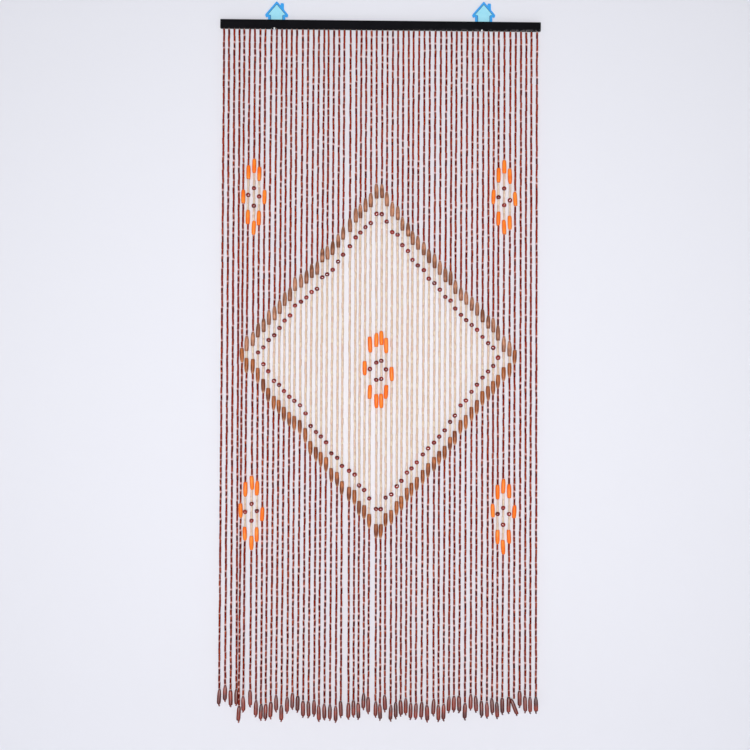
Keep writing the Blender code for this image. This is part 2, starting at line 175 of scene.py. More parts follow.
# Tip beads that hang askew: strand and slope, foot to the right
ASKEW_TIPS = {55: math.tan(math.radians(20))}

# Profiles of the beads' outer faces: share of the length from the top, share of half the
# width. Turned beads differ, so each lies somewhere between two profiles
TUBE_PROFILE = ((0.0, 0.76), (0.05, 1.0), (0.95, 1.0), (1.0, 0.76))
RAGGED_TUBE_PROFILE = ((0.0, 0.62), (0.09, 1.0), (0.93, 0.96), (1.0, 0.70))
BARREL_PROFILE = (
    (0.0, 0.56), (0.02, 0.70), (0.06, 0.82), (0.13, 0.93), (0.25, 0.99), (0.45, 1.0),
    (0.64, 1.0), (0.80, 0.99), (0.92, 0.93), (0.975, 0.84), (1.0, 0.70),
)
SLIM_BARREL_PROFILE = (
    (0.0, 0.50), (0.02, 0.60), (0.07, 0.73), (0.15, 0.86), (0.28, 0.96), (0.45, 1.0),
    (0.62, 1.0), (0.79, 0.97), (0.91, 0.90), (0.975, 0.81), (1.0, 0.72),
)
SPINDLE_PROFILE = (
    (0.0, 0.50), (0.03, 0.60), (0.09, 0.74), (0.19, 0.88), (0.32, 0.97), (0.47, 1.0),
    (0.64, 1.0), (0.80, 0.98), (0.93, 0.92), (0.98, 0.84), (1.0, 0.74),
)
SLIM_SPINDLE_PROFILE = (
    (0.0, 0.42), (0.03, 0.50), (0.09, 0.62), (0.19, 0.78), (0.32, 0.92), (0.47, 1.0),
    (0.64, 1.0), (0.80, 0.97), (0.93, 0.89), (0.98, 0.82), (1.0, 0.74),
)
TIP_PROFILE = (
    (0.0, 0.46), (0.02, 0.58), (0.07, 0.77), (0.14, 0.91), (0.25, 0.99), (0.45, 1.0),
    (0.72, 1.0), (0.88, 0.99), (0.955, 0.92), (0.985, 0.80), (1.0, 0.62),
)
SLIM_TIP_PROFILE = (
    (0.0, 0.38), (0.03, 0.46), (0.09, 0.58), (0.18, 0.74), (0.30, 0.90), (0.45, 0.99),
    (0.72, 1.0), (0.88, 0.98), (0.955, 0.90), (0.985, 0.78), (1.0, 0.60),
)
ROUND_STEPS = 10
ROUND_CUT = 24.0

Placed = namedtuple("Placed", "strand kind drop length chance below")


def steps_from_middle(strand):
    """0 for the two middle strands, rising to 29 for the two outer ones."""
    return max(STRANDS // 2 - 1 - strand, strand - STRANDS // 2)


def flower(spindles, rounds):
    """One orange spindle, or two with pale pairs and round beads between them."""
    if spindles == 1:
        return [("orange", 1)]
    middle = [("round", 1), ("pale", BORDER_PALE_PAIR)] * rounds
    return [("orange", 1), ("pale", BORDER_PALE_PAIR)] + middle + [("orange", 1)]


def diamond_inside(step):
    """Runs between a strand's two border spindles."""
    if step > LAST_OPEN_STEP + 1:
        return [("pale", DIAMOND_REACH - step)]
    edge = [("pale", BORDER_PALE_PAIR), ("round", 1)]
    if step == LAST_OPEN_STEP + 1:
        return edge + [("pale", BORDER_PALE_PAIR)]
    if step in CENTRE_ROWS:
        row = CENTRE_ROWS[step]
        middle = [("pale", row.above)] + flower(row.spindles, row.rounds)
        middle += [("pale", row.below)]
    else:
        middle = [("pale", 2 * (LAST_OPEN_STEP + 1 - step))]
    return edge + middle + edge[::-1]


def diamond(step):
    """Runs from the upper border spindle to the lower one; the side point is one spindle."""
    if step == DIAMOND_REACH:
        return [("tan", 1)]
    return [("tan", 1)] + diamond_inside(step) + [("tan", 1)]


def bead_runs(strand):
    """(kind, count) of the beads on a strand, from the slat down."""
    step = steps_from_middle(strand)
    ending = [("tip", 1), ("stop", 1)]
    if step > DIAMOND_REACH:
        return [("brown", PLAIN_TUBES)] + ending
    if step in CORNER_ROWS:
        row = CORNER_ROWS[step]
        spray = flower(row.spindles, row.rounds)
        above = [("brown", row.above)] + spray + [("brown", row.to_border)]
        below = [("brown", row.from_border)] + spray + [("brown", row.below)]
    else:
        above = [("brown", DIAMOND_TOP_TUBES + step)]
        below = [("brown", DIAMOND_FOOT_TUBES + step)]
    return above + diamond(step) + below + ending


def beads_on(strand):
    """The beads placed on a strand, each with a chance of its own for its looks."""
    chance = random.Random(BEAD_SEED + strand)
    looks = random.Random(strand)
    kinds = [kind for kind, count in bead_runs(strand) for _ in range(count)]
    even = [BEADS[kind].length for kind in kinds]
    lengths = [
        BEADS[kind].length + chance.uniform(-BEADS[kind].spread, BEADS[kind].spread)
        for kind in kinds
    ]
    spindles = [place for place, kind in enumerate(kinds) if kind in SPINDLES]
    start = 0
    reached = 0.0
    for place, drift in zip(spindles, SPINDLE_DRIFTS[strand], strict=True):
        wanted = sum(even[start:place]) + (drift - reached) * MM
        share = wanted / sum(lengths[start:place])
        lengths[start:place] = [length * share for length in lengths[start:place]]
        start = place
        reached = drift
    drops = accumulate(lengths, initial=LEAD)
    chances = [looks.random() for _ in range(len(kinds) + 1)]
    placed = zip(kinds, drops, lengths, chances, chances[1:], strict=False)
    return [Placed(strand, *bead) for bead in placed]


def strand_line(strand):
    """A function from a drop below the slat to the strand's (x, y) there."""
    group = next(g for g in HANGING_GROUPS if g.first <= strand <= g.last)
    across = (strand - group.first) / max(group.last - group.first, 1)
    hem_shift = group.hem_first + across * (group.hem_last - group.hem_first)
    chance = random.Random(LINE_SEED + strand)
    even = -SLAT_LENGTH / 2 + END_MARGIN + ROW_SHIFT + strand * PITCH
    top_x = even + group.hole * MM + chance.uniform(-LINE_CHANCE, LINE_CHANCE)
    hem_x = even + HEM_LEAN + hem_shift * MM + chance.uniform(-LINE_CHANCE, LINE_CHANCE)
    sway = chance.uniform(-SWAY_CHANCE, SWAY_CHANCE)
    out = group.out * MM + chance.uniform(-SWAY_CHANCE, SWAY_CHANCE)

    def place(drop):
        share = drop / CURTAIN_DROP
        x = top_x + (hem_x - top_x) * share + sway * math.sin(math.pi * share)
        return x, SLAT_MIDDLE - out * share

    return place


LINES = [strand_line(strand) for strand in range(STRANDS)]
STRUNG = [bead for strand in range(STRANDS) for bead in beads_on(strand)]
BEAD_SHARP_ANGLE = math.radians(50)


def linked(name, data):
    """A new object in the scene for a mesh, a camera or a light."""
    obj = bpy.data.objects.new(name, data)
    bpy.context.scene.collection.objects.link(obj)
    return obj


def new_mesh_object(name, points, faces, values):
    """A smooth mesh object with named point values for its material."""
    mesh = bpy.data.meshes.new(name)
    mesh.from_pydata(points, [], faces)
    for key, numbers in values.items():
        attribute = mesh.attributes.new(key, "FLOAT", "POINT")
        attribute.data.foreach_set("value", np.array(numbers, dtype=np.float32))
    mesh.shade_smooth()
    mesh.set_sharp_from_angle(angle=BEAD_SHARP_ANGLE)
    return linked(name, mesh)


def bored_rings(profile, bore):
    """(share of length, share of half width) round a bored bead: down outside, up the bore."""
    ends = ((profile[-1][0], bore), (profile[0][0], bore))
    return np.array(profile + ends)


def ring_faces(rings, sides):
    """Quads of a closed loop of rings, which makes a bead with a hole through it."""
    faces = []
    for ring in range(rings):
        below = (ring + 1) % rings
        for side in range(sides):
            turn = (side + 1) % sides
            faces.append(
                (
                    ring * sides + side,
                    below * sides + side,
                    below * sides + turn,
                    ring * sides + turn,
                )
            )
    return np.array(faces)


def upside_down(rings):
    """The same bead strung the other way up, its bore still last."""
    outer = rings[:-2][::-1].copy()
    outer[:, 0] = 1 - outer[:, 0]
    return np.concatenate([outer, rings[-2:]])


# How one sort of bead is turned and strung: two profiles, sides round it, bore as a share of
# its width, how far it leans (as a slope), sits off its line and varies in width
Turning = namedtuple("Turning", "profile slim sides bore lean offset thinner thicker")
TURNINGS = {
    "tube": Turning(TUBE_PROFILE, RAGGED_TUBE_PROFILE, 9, 0.34, 0.040, 0.5 * MM, 0.09, 0.06),
    "spindle": Turning(SPINDLE_PROFILE, SLIM_SPINDLE_PROFILE, 18, 0.2, 0.030, 0.2 * MM, 0.02, 0.07),
    "flower": Turning(BARREL_PROFILE, SLIM_BARREL_PROFILE, 18, 0.2, 0.060, 0.3 * MM, 0.0, 0.08),
    "tip": Turning(TIP_PROFILE, SLIM_TIP_PROFILE, 18, 0.2, 0.055, 0.2 * MM, 0.04, 0.05),
}


def string_beads(name, beads, sort, made, flip_chance=0.0):
    """One piece of many beads of a sort, each tilted and sized a little by its own chance."""
    turning = TURNINGS[sort]
    sides = turning.sides
    rings = bored_rings(turning.profile, turning.bore)
    slim_rings = bored_rings(turning.slim, turning.bore)
    faces = ring_faces(len(rings), sides)
    turns = np.arange(sides) * 2 * math.pi / sides
    circle = np.stack([np.cos(turns), np.sin(turns)], axis=1)
    points, along, tone, joint = [], [], [], []
    for bead in beads:
        spin = random.Random(bead.chance)
        middle = bead.drop + bead.length / 2
        x, y = LINES[bead.strand](middle)
        above = LINES[bead.strand](bead.drop)
        below = LINES[bead.strand](bead.drop + bead.length)
        lean_x = (below[0] - above[0]) / bead.length + spin.uniform(-1, 1) * turning.lean
        lean_y = (below[1] - above[1]) / bead.length + spin.uniform(-1, 1) * turning.lean
        if bead.kind == "tip":
            lean_x += ASKEW_TIPS.get(bead.strand, 0.0)
        x += spin.uniform(-1, 1) * turning.offset
        y += spin.uniform(-1, 1) * turning.offset
        half = BEADS[bead.kind].width / 2 * (1 + spin.uniform(-turning.thinner, turning.thicker))
        own = rings + (slim_rings - rings) * spin.random()
        if spin.random() < flip_chance:
            own = upside_down(own)
        share = own[:, 0]
        off = (share - 0.5) * bead.length
        ring_xy = half * own[:, 1][:, None, None] * circle[None, :, :]
        centre = np.stack([x + lean_x * off, y + lean_y * off], axis=1)
        xy = ring_xy + centre[:, None, :]
        z = np.repeat((SLAT_UNDERSIDE - middle - off)[:, None], sides, axis=1)
        points.append(np.concatenate([xy, z[:, :, None]], axis=2).reshape(-1, 3))
        along.append(np.repeat(share, sides))
        tone.append(np.full(len(rings) * sides, bead.chance))
        joint.append(np.repeat(np.where(share < 0.5, bead.chance, bead.below), sides))
    count = len(rings) * sides
    every = np.concatenate([faces + n * count for n in range(len(beads))])
    values = {
        "along": np.concatenate(along),
        "tone": np.concatenate(tone),
        "joint": np.concatenate(joint),
    }
    places = np.concatenate(points)
    obj = new_mesh_object(name, places.tolist(), every.tolist(), values)
    dress(obj, made)


def ball_profile():
    """A ball cut a little flat at the two ends of its bore."""
    angles = [
        math.radians(ROUND_CUT + (180 - 2 * ROUND_CUT) * n / ROUND_STEPS)
        for n in range(ROUND_STEPS + 1)
    ]
    reach = math.cos(angles[0])
    return tuple(((1 - math.cos(a) / reach) / 2, math.sin(a)) for a in angles)


TURNINGS["round"] = Turning(ball_profile(), ball_profile(), 18, 0.2, 0.08, 0.3 * MM, 0.05, 0.05)


def dress(obj, made, replaces="bead_strands"):
    """Gives a new piece its material and its body, and hides the node it stands for."""
    obj.data.materials.clear()
    obj.data.materials.append(made)
    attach(obj, "root")
    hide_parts(replaces)


# Stains, woods, paints and plastics, and painted shade for the hooks' groove, as linear colours
BROWN_DEEP = (0.110, 0.004, 0.002, 1)
BROWN_RED = (0.35, 0.026, 0.008, 1)
BROWN_LOW = (0.03, 0.001, 0.001, 1)
BROWN_PATCH = (0.46, 0.085, 0.032, 1)
BROWN_STREAK = (0.085, 0.003, 0.002, 1)
BROWN_CUT_END = (1.0, 0.60, 0.56, 1)
PALE_CREAM = (0.72, 0.54, 0.40, 1)
PALE_PINK = (0.72, 0.50, 0.40, 1)
PALE_PATCH = (0.82, 0.68, 0.53, 1)
PALE_STREAK = (0.58, 0.36, 0.24, 1)
PALE_SPOT = (0.32, 0.13, 0.07, 1)
PALE_CUT_END = (0.45, 0.29, 0.20, 1)
THREAD_SHADE = (0.55, 0.47, 0.38, 1)
THREAD_LIGHT = (0.82, 0.76, 0.66, 1)
SLAT_BLACK = (0.002, 0.002, 0.003, 1)
SLAT_GREY = (0.006, 0.006, 0.0085, 1)
SLAT_WORN = (0.10, 0.095, 0.10, 1)
PLATE_BLUES = ((0.050, 0.40, 0.88, 1), (0.035, 0.34, 0.82, 1))
# Painted shade: a darker blue down in the hooks' groove, where shade falls
GROOVE_PAINTED_SHADE = (0.004, 0.035, 0.12, 1)
PANEL_BLUES = ((0.29, 0.70, 0.86, 1), (0.40, 0.79, 0.93, 1))
PRONG_WHITES = ((0.80, 0.82, 0.83, 1), (0.88, 0.89, 0.90, 1))

# Where the brown stain starts to deepen and where it is deepest, how high the slat's wear
# reaches, how far apart in the wood two beads' grain lies, how fine the thread's twist is,
# and how uneven plastic's gloss is
DEEPENS_FROM = -0.6
DEEPEST_AT = -1.9
WEAR_HEIGHT = 5 * MM
GRAIN_SHIFT = 37.0
THREAD_TWIST = 700.0
PLASTIC_UNEVENNESS = 0.15


class Nodes:
    """A short way to add and join shader nodes in one tree."""

    def __init__(self, tree):
        self.tree = tree

    def add(self, kind, inputs=None, **settings):
        """A node with its settings; inputs gives its sockets their values or links."""
        node = self.tree.nodes.new(kind)
        for key, value in settings.items():
            setattr(node, key, value)
        for key, value in (inputs or {}).items():
            self.put(node.inputs[key], value)
        return node

    def put(self, socket, value):
        """Links a socket to another, or sets its value."""
        if isinstance(value, bpy.types.NodeSocket):
            self.tree.links.new(value, socket)
        else:
            socket.default_value = value

    def math(self, operation, first, second, clamp=False):
        """The result of one sum."""
        inputs = {0: first, 1: second}
        node = self.add("ShaderNodeMath", inputs, operation=operation, use_clamp=clamp)
        return node.outputs[0]

    def vector_math(self, operation, first, second):
        """The result of one sum of vectors."""
        inputs = {0: first, 1: second}
        return self.add("ShaderNodeVectorMath", inputs, operation=operation).outputs[0]

    def mix(self, factor, first, second):
        """A mix of two colours."""
        inputs = {0: factor, 6: first, 7: second}
        return self.add("ShaderNodeMix", inputs, data_type="RGBA").outputs[2]

    def noise(self, vector, scale, detail=2.0, roughness=0.5):
        """A noise value at a place."""
        inputs = {"Vector": vector, "Scale": scale, "Detail": detail, "Roughness": roughness}
        return self.add("ShaderNodeTexNoise", inputs).outputs["Fac"]

    def attribute(self, name):
        """A value that the mesh keeps at its points."""
        return self.add("ShaderNodeAttribute", attribute_name=name).outputs["Fac"]

    def place(self):
        """The place in the piece's own space."""
        return self.add("ShaderNodeTexCoord").outputs["Object"]

    def ramp(self, value, low, high):
        """A smooth step from 0 at low to 1 at high."""
        inputs = {"Value": value, "From Min": low, "From Max": high}
        node = self.add("ShaderNodeMapRange", inputs, interpolation_type="SMOOTHSTEP")
        return node.outputs["Result"]


FLOAT = "NodeSocketFloat"
VECTOR = "NodeSocketVector"
COLOUR = "NodeSocketColor"


def new_group(name, inputs, outputs):
    """An empty node group. Each input is a kind of socket, or the start of a plain number."""
    group = bpy.data.node_groups.new(name, "ShaderNodeTree")
    for label, start in inputs.items():
        number = isinstance(start, float)
        kind = FLOAT if number else start
        socket = group.interface.new_socket(label, in_out="INPUT", socket_type=kind)
        if number:
            socket.default_value = start
    for label, kind in outputs.items():
        group.interface.new_socket(label, in_out="OUTPUT", socket_type=kind)
    nodes = Nodes(group)
    entry = nodes.add("NodeGroupInput")
    leave = nodes.add("NodeGroupOutput")
    return group, nodes, entry.outputs, leave.inputs


def build_grain_group():
    """Wood grain that runs down a bead, with another place in the wood for each bead."""
    group, nodes, given, result = new_group(
        "Bead grain",
        {
            "Place": VECTOR, "Tone": 0.5, "Streak Scale": 1400.0, "Patch Scale": 90.0,
            "Stretch": 0.12,
        },
        {"Streaks": FLOAT, "Patches": FLOAT},
    )
    shift = nodes.math("MULTIPLY", given["Tone"], GRAIN_SHIFT)
    aside = nodes.add("ShaderNodeCombineXYZ", {0: shift}).outputs[0]
    moved = nodes.vector_math("ADD", given["Place"], aside)
    stretch = nodes.add("ShaderNodeCombineXYZ", {0: 1.0, 1: 1.0, 2: given["Stretch"]})
    flat = nodes.vector_math("MULTIPLY", moved, stretch.outputs[0])
    streaks = nodes.noise(flat, given["Streak Scale"], detail=4.0, roughness=0.6)
    patches = nodes.noise(moved, given["Patch Scale"])
    nodes.put(result["Streaks"], streaks)
    nodes.put(result["Patches"], patches)
    return group


def build_ends_group():
    """A mask of a bead's two ends, on some joints only, the same for both beads of a joint."""
    group, nodes, given, result = new_group(
        "Bead ends",
        {"Along": 0.5, "Joint": 0.5, "Reach": 0.08, "Share of Joints": 0.4},
        {"Mask": FLOAT},
    )
    remaining = nodes.math("SUBTRACT", 1.0, given["Along"])
    nearest = nodes.math("MINIMUM", given["Along"], remaining)
    margin = nodes.math("SUBTRACT", given["Share of Joints"], given["Joint"])
    strength = nodes.math("DIVIDE", margin, given["Share of Joints"], clamp=True)
    wider = nodes.math("ADD", nodes.math("MULTIPLY", strength, 0.6), 0.7)
    mask = nodes.ramp(nearest, nodes.math("MULTIPLY", given["Reach"], wider), 0.0)
    shown = nodes.math("MULTIPLY", mask, nodes.ramp(margin, 0.0, 0.03))
    uneven = nodes.math("ADD", nodes.math("MULTIPLY", strength, 0.55), 0.35)
    nodes.put(result["Mask"], nodes.math("MULTIPLY", shown, uneven, clamp=True))
    return group


def build_specks_group():
    """Small sparse spots, such as knots in pale wood or chips in paint."""
    group, nodes, given, result = new_group(
        "Specks",
        {"Place": VECTOR, "Scale": 150.0, "Sparseness": 0.7},
        {"Mask": FLOAT},
    )
    grain = nodes.noise(given["Place"], given["Scale"], detail=3.0, roughness=0.6)
    edge = nodes.math("ADD", given["Sparseness"], 0.06)
    nodes.put(result["Mask"], nodes.ramp(grain, given["Sparseness"], edge))
    return group


def build_turned_group():
    """The colour of a turned bead: fine lines, lighter patches, another tone at top and foot."""
    group, nodes, given, result = new_group(
        "Turned wood",
        {
            "Along": 0.5, "Tone": 0.5, "Darkness": 0.5, "Streaks": 0.5, "Patches": 0.5,
            "Lines": 0.7, "Light": COLOUR, "Deep": COLOUR, "Top": COLOUR, "Top Reach": 0.1,
            "Foot": COLOUR, "Foot Reach": 0.2,
        },
        {"Color": COLOUR},
    )
    own = nodes.mix(given["Darkness"], given["Light"], given["Deep"])
    fine = nodes.ramp(given["Streaks"], 0.46, 0.60)
    streaked = nodes.mix(nodes.math("MULTIPLY", fine, given["Lines"]), own, given["Deep"])
    patches = nodes.math("MULTIPLY", nodes.ramp(given["Patches"], 0.54, 0.74), 0.7)
    patched = nodes.mix(patches, streaked, given["Light"])
    at_top = nodes.math("MULTIPLY", nodes.ramp(given["Along"], given["Top Reach"], 0.0), 0.85)
    topped = nodes.mix(at_top, patched, given["Top"])
    begin = nodes.math("SUBTRACT", 1.0, given["Foot Reach"])
    uneven = nodes.math("ADD", nodes.math("MULTIPLY", given["Tone"], 0.6), 0.45)
    at_foot = nodes.math("MULTIPLY", nodes.ramp(given["Along"], begin, 1.0), uneven, clamp=True)
    nodes.put(result["Color"], nodes.mix(at_foot, topped, given["Foot"]))
    return group


def build_plastic_group():
    """Moulded plastic: clouds of two near tones, and fine pits."""
    group, nodes, given, result = new_group(
        "Moulded plastic",
        {"Place": VECTOR, "Colour": COLOUR, "Shade": COLOUR},
        {"Color": COLOUR, "Cloud": FLOAT, "Pits": FLOAT},
    )
    cloud = nodes.noise(given["Place"], scale=90.0, detail=3.0)
    nodes.put(result["Color"], nodes.mix(cloud, given["Colour"], given["Shade"]))
    nodes.put(result["Cloud"], cloud)
    nodes.put(result["Pits"], nodes.noise(given["Place"], scale=1600.0))
    return group


GRAIN = build_grain_group()
ENDS = build_ends_group()
SPECKS = build_specks_group()
TURNED_WOOD = build_turned_group()
PLASTIC = build_plastic_group()


def new_material(name):
    """A material with its Principled shader, and a short way to add nodes to it."""
    made = bpy.data.materials.new(name)
    made.use_nodes = True
    nodes = Nodes(made.node_tree)
    shader = made.node_tree.nodes["Principled BSDF"]
    return made, nodes, shader


def use_group(nodes, group, **inputs):
    """A group placed in a material with its own values."""
    node = nodes.add("ShaderNodeGroup", node_tree=group)
    for key, value in inputs.items():
        nodes.put(node.inputs[key.replace("_", " ")], value)
    return node.outputs


def bead_values(nodes):
    """The bead's own tone, the share along it, its joint's chance, and the place."""
    tone, along, joint = map(nodes.attribute, ("tone", "along", "joint"))
    return tone, along, joint, nodes.place()


def bump(nodes, shader, height, strength, distance):
    """A bump from a height to the shader's normal."""
    inputs = {"Strength": strength, "Distance": distance, "Height": height}
    node = nodes.add("ShaderNodeBump", inputs)
    nodes.put(shader.inputs["Normal"], node.outputs["Normal"])


def gloss(nodes, shader, unevenness, smooth, rough, specular):
    """A roughness that follows a mask between two values, and the strength of the sheen."""
    inputs = {"Value": unevenness, "To Min": smooth, "To Max": rough}
    node = nodes.add("ShaderNodeMapRange", inputs)
    nodes.put(shader.inputs["Roughness"], node.outputs["Result"])
    shader.inputs["Specular IOR Level"].default_value = specular


def brown_tube_material():
    """Red-brown stained tubes with darker and warmer stretches and paler cut ends."""
    made, nodes, shader = new_material("Brown tube stain")
    tone, along, joint, place = bead_values(nodes)
    grain = use_group(nodes, GRAIN, Place=place, Tone=tone, Patch_Scale=75.0)
    drop = nodes.add("ShaderNodeSeparateXYZ", {0: place}).outputs["Z"]
    lower = nodes.ramp(drop, DEEPENS_FROM, DEEPEST_AT)
    share = nodes.math("ADD", nodes.math("MULTIPLY", lower, 0.4), 0.50)
    ends = use_group(nodes, ENDS, Along=along, Joint=joint, Reach=0.20, Share_of_Joints=share)
    stain = nodes.mix(tone, BROWN_DEEP, BROWN_RED)
    own = nodes.mix(nodes.math("MULTIPLY", lower, 0.3), stain, BROWN_LOW)
    warm = nodes.ramp(grain["Patches"], 0.50, 0.64)
    patched = nodes.mix(nodes.math("MULTIPLY", warm, 0.8), own, BROWN_PATCH)
    dark = nodes.ramp(grain["Streaks"], 0.58, 0.40)
    streaked = nodes.mix(nodes.math("MULTIPLY", dark, 0.5), patched, BROWN_STREAK)
    cut = nodes.math("MULTIPLY", ends["Mask"], 0.95)
    nodes.put(shader.inputs["Base Color"], nodes.mix(cut, streaked, BROWN_CUT_END))
    gloss(nodes, shader, grain["Patches"], smooth=0.35, rough=0.6, specular=0.04)
    bump(nodes, shader, grain["Streaks"], strength=0.3, distance=0.2 * MM)
    return made


def pale_tube_material():
    """Clear lacquered pale tubes, cream to pinkish, with a few brown spots."""
    made, nodes, shader = new_material("Pale tube wood")
    tone, along, joint, place = bead_values(nodes)
    grain = use_group(nodes, GRAIN, Place=place, Tone=tone, Patch_Scale=60.0)
    specks = use_group(nodes, SPECKS, Place=place, Scale=150.0, Sparseness=0.69)
    ends = use_group(nodes, ENDS, Along=along, Joint=joint, Reach=0.06, Share_of_Joints=0.5)
    own = nodes.mix(tone, PALE_CREAM, PALE_PINK)
    light = nodes.ramp(grain["Patches"], 0.42, 0.70)
    patched = nodes.mix(light, own, PALE_PATCH)
    lines = nodes.math("MULTIPLY", nodes.ramp(grain["Streaks"], 0.52, 0.72), 0.5)
    streaked = nodes.mix(lines, patched, PALE_STREAK)
    spots = nodes.math("MULTIPLY", specks["Mask"], 0.8)
    spotted = nodes.mix(spots, streaked, PALE_SPOT)
    cut = nodes.math("MULTIPLY", ends["Mask"], 0.5)
    nodes.put(shader.inputs["Base Color"], nodes.mix(cut, spotted, PALE_CUT_END))
    gloss(nodes, shader, grain["Patches"], smooth=0.28, rough=0.5, specular=0.2)
    bump(nodes, shader, grain["Streaks"], strength=0.25, distance=0.15 * MM)
    return made


# Lacquered turned beads: the two tones that single beads lie between, the colours and reaches
# of the top and the foot (the lower tan spindles' pale foot is a painted highlight), the
# strength of the fine lines and of the wood's sheen, and the lacquer's roughness, strength and
# index of refraction
Lacquer = namedtuple(
    "Lacquer", "light deep top top_reach foot foot_reach lines sheen smooth coat shine"
)
UPPER_TAN = Lacquer(
    light=(0.62, 0.285, 0.165, 1),
    deep=(0.19, 0.060, 0.028, 1),
    top=(0.28, 0.11, 0.07, 1),
    top_reach=0.12,
    foot=(0.19, 0.048, 0.009, 1),
    foot_reach=0.30,
    lines=0.85,
    sheen=0.08,
    smooth=0.34,
    coat=0.3,
    shine=1.6,
)
# The lower tan spindles' pale foot colour is a painted highlight where the spindle tapers down
LOWER_TAN_PAINTED_FOOT_HIGHLIGHT = UPPER_TAN._replace(
    light=(0.56, 0.170, 0.044, 1),
    deep=(0.17, 0.036, 0.008, 1),
    top=(0.30, 0.11, 0.055, 1),
    top_reach=0.09,
    foot=(0.60, 0.31, 0.18, 1),
    foot_reach=0.26,
)
ORANGE = Lacquer(
    light=(1.0, 0.27, 0.035, 1),
    deep=(0.97, 0.165, 0.012, 1),
    top=(0.80, 0.13, 0.03, 1),
    top_reach=0.05,
    foot=(0.60, 0.12, 0.03, 1),
    foot_reach=0.08,
    lines=0.3,
    sheen=0.08,
    smooth=0.20,
    coat=0.15,
    shine=1.5,
)
DARK_ROUND = Lacquer(
    light=(0.36, 0.027, 0.017, 1),
    deep=(0.14, 0.008, 0.006, 1),
    top=(0.04, 0.005, 0.005, 1),
    top_reach=0.16,
    foot=(0.04, 0.005, 0.005, 1),
    foot_reach=0.16,
    lines=0.3,
    sheen=0.02,
    smooth=0.14,
    coat=1.0,
    shine=2.4,
)
DARK_TIP = Lacquer(
    light=(0.32, 0.042, 0.021, 1),
    deep=(0.085, 0.017, 0.015, 1),
    top=(0.05, 0.008, 0.007, 1),
    top_reach=0.12,
    foot=(0.07, 0.010, 0.008, 1),
    foot_reach=0.06,
    lines=0.8,
    sheen=0.02,
    smooth=0.40,
    coat=1.0,
    shine=1.75,
)


def turned_material(name, lacquer):
    """Turned wood under lacquer, with its own tone a bead."""
    made, nodes, shader = new_material(name)
    tone, along, joint, place = bead_values(nodes)
    grain = use_group(nodes, GRAIN, Place=place, Tone=tone, Patch_Scale=45.0, Streak_Scale=400.0)
    wood = use_group(
        nodes,
        TURNED_WOOD,
        Along=along,
        Tone=tone,
        Darkness=joint,
        Streaks=grain["Streaks"],
        Patches=grain["Patches"],
        Lines=lacquer.lines,
        Light=lacquer.light,
        Deep=lacquer.deep,
        Top=lacquer.top,
        Top_Reach=lacquer.top_reach,
        Foot=lacquer.foot,
        Foot_Reach=lacquer.foot_reach,
    )
    nodes.put(shader.inputs["Base Color"], wood["Color"])
    gloss(nodes, shader, grain["Patches"], smooth=0.35, rough=0.55, specular=lacquer.sheen)
    facing = nodes.add("ShaderNodeLayerWeight", {"Blend": 0.5}).outputs["Facing"]
    thick = nodes.math("MULTIPLY", nodes.ramp(facing, 0.32, 0.08), lacquer.coat)
    nodes.put(shader.inputs["Coat Weight"], thick)
    shader.inputs["Coat Roughness"].default_value = lacquer.smooth
    shader.inputs["Coat IOR"].default_value = lacquer.shine
    bump(nodes, shader, grain["Streaks"], strength=0.2, distance=0.2 * MM)
    return made


def thread_material():
    """Pale twisted thread."""
    made, nodes, shader = new_material("Pale thread")
    inputs = {"Vector": nodes.place(), "Scale": THREAD_TWIST}
    wave = nodes.add("ShaderNodeTexWave", inputs, bands_direction="DIAGONAL")
    colour = nodes.mix(wave.outputs["Fac"], THREAD_SHADE, THREAD_LIGHT)
    nodes.put(shader.inputs["Base Color"], colour)
    shader.inputs["Roughness"].default_value = 0.8
    bump(nodes, shader, wave.outputs["Fac"], strength=0.4, distance=0.1 * MM)
    return made


def slat_material():
    """Black satin paint over wood, worn through in places along the lower edge."""
    made, nodes, shader = new_material("Black slat paint")
    place = nodes.place()
    lengthwise = nodes.add("ShaderNodeMapping", {"Vector": place, "Scale": (0.06, 1.0, 1.0)})
    grain = nodes.noise(lengthwise.outputs[0], scale=520.0, detail=5.0, roughness=0.6)
    blotches = nodes.noise(place, scale=28.0, detail=3.0)
    apart = nodes.add("ShaderNodeSeparateXYZ", {0: place}).outputs
    low_edge = nodes.ramp(apart["Z"], SLAT_LOW.z + WEAR_HEIGHT, SLAT_LOW.z)
    chips = use_group(nodes, SPECKS, Place=place, Scale=130.0, Sparseness=0.50)
    right_end = nodes.ramp(apart["X"], 0.0, SLAT_HIGH.x)
    worn = nodes.math("MULTIPLY", low_edge, nodes.math("MULTIPLY", chips["Mask"], right_end))
    black = nodes.mix(blotches, SLAT_BLACK, SLAT_GREY)
    nodes.put(shader.inputs["Base Color"], nodes.mix(worn, black, SLAT_WORN))
    gloss(nodes, shader, grain, smooth=0.4, rough=0.65, specular=0.05)
    bump(nodes, shader, grain, strength=0.3, distance=0.3 * MM)
    return made


def plastic_material(name, colour, shade, roughness, groove=None):
    """Moulded plastic, faintly uneven, with a darker colour painted as shade down in a groove if it
    has one.
    """
    made, nodes, shader = new_material(name)
    place = nodes.place()
    plastic = use_group(nodes, PLASTIC, Place=place, Colour=colour, Shade=shade)
    own = plastic["Color"]
    if groove:
        # The groove's darker colour is painted shade
        own = nodes.mix(nodes.attribute("groove_painted_shade"), own, groove)
    nodes.put(shader.inputs["Base Color"], own)
    rough = roughness + PLASTIC_UNEVENNESS
    gloss(nodes, shader, plastic["Cloud"], smooth=roughness, rough=rough, specular=0.4)
    bump(nodes, shader, plastic["Pits"], strength=0.15, distance=0.1 * MM)
    return made


def chosen(kind, first=0, last=STRANDS - 1):
    """The strung beads of a kind, on all strands or a run of them."""
    return [b for b in STRUNG if b.kind == kind and first <= b.strand <= last]


